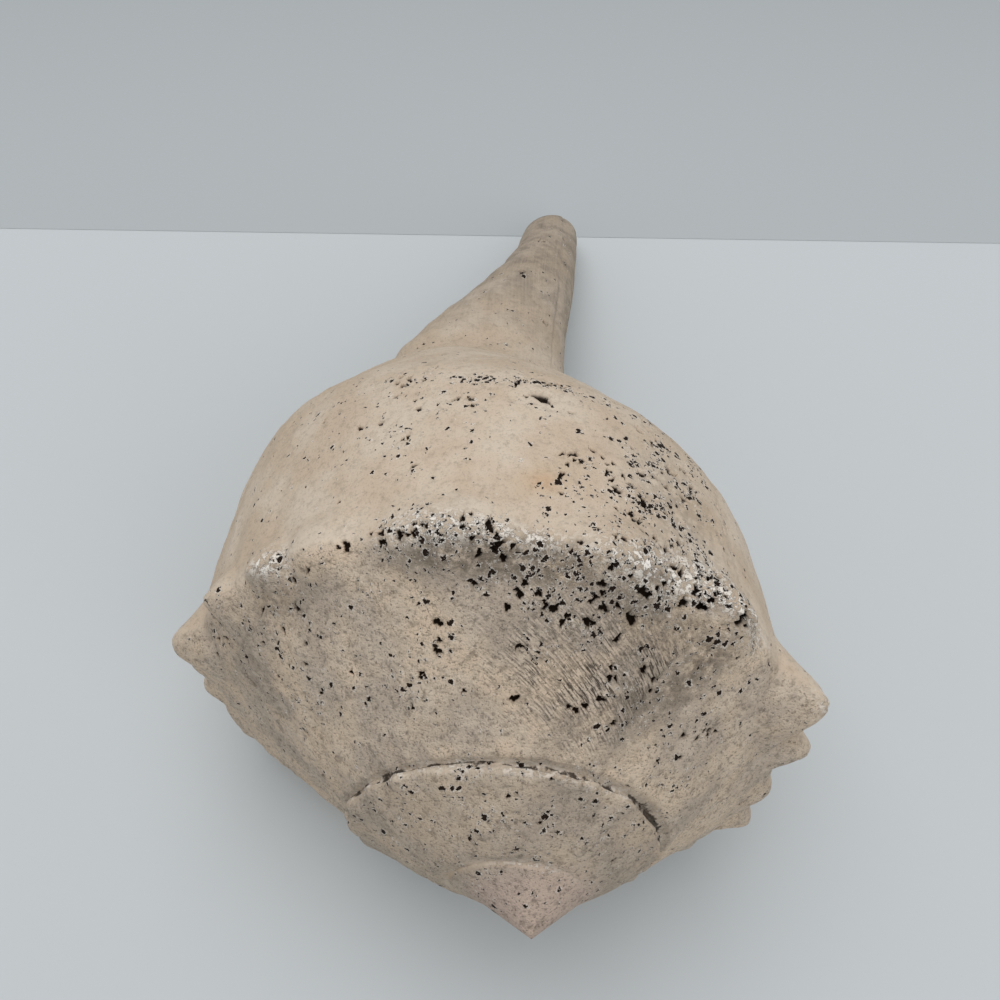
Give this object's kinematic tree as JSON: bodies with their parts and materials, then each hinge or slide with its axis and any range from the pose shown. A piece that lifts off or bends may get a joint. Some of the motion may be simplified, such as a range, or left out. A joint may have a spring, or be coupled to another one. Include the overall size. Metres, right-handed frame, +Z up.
{
  "type": "whelk shell",
  "caption": "Large left-handed sea snail shell with a knobbed shoulder, low spire and long open canal, lying on its opening.",
  "frame": {"origin": "middle of the shell's outline seen from above, on the table it lies on", "axes": "+Y from the spire toward the tip of the canal, +Z up from the table, the opening facing down"},
  "size_m": [0.1164, 0.1936, 0.0965],
  "materials": {
    "shell": "matt, chalky, bleached"
  },
  "bodies": {
    "root": {"shell": "shell"}
  },
  "joints": []
}
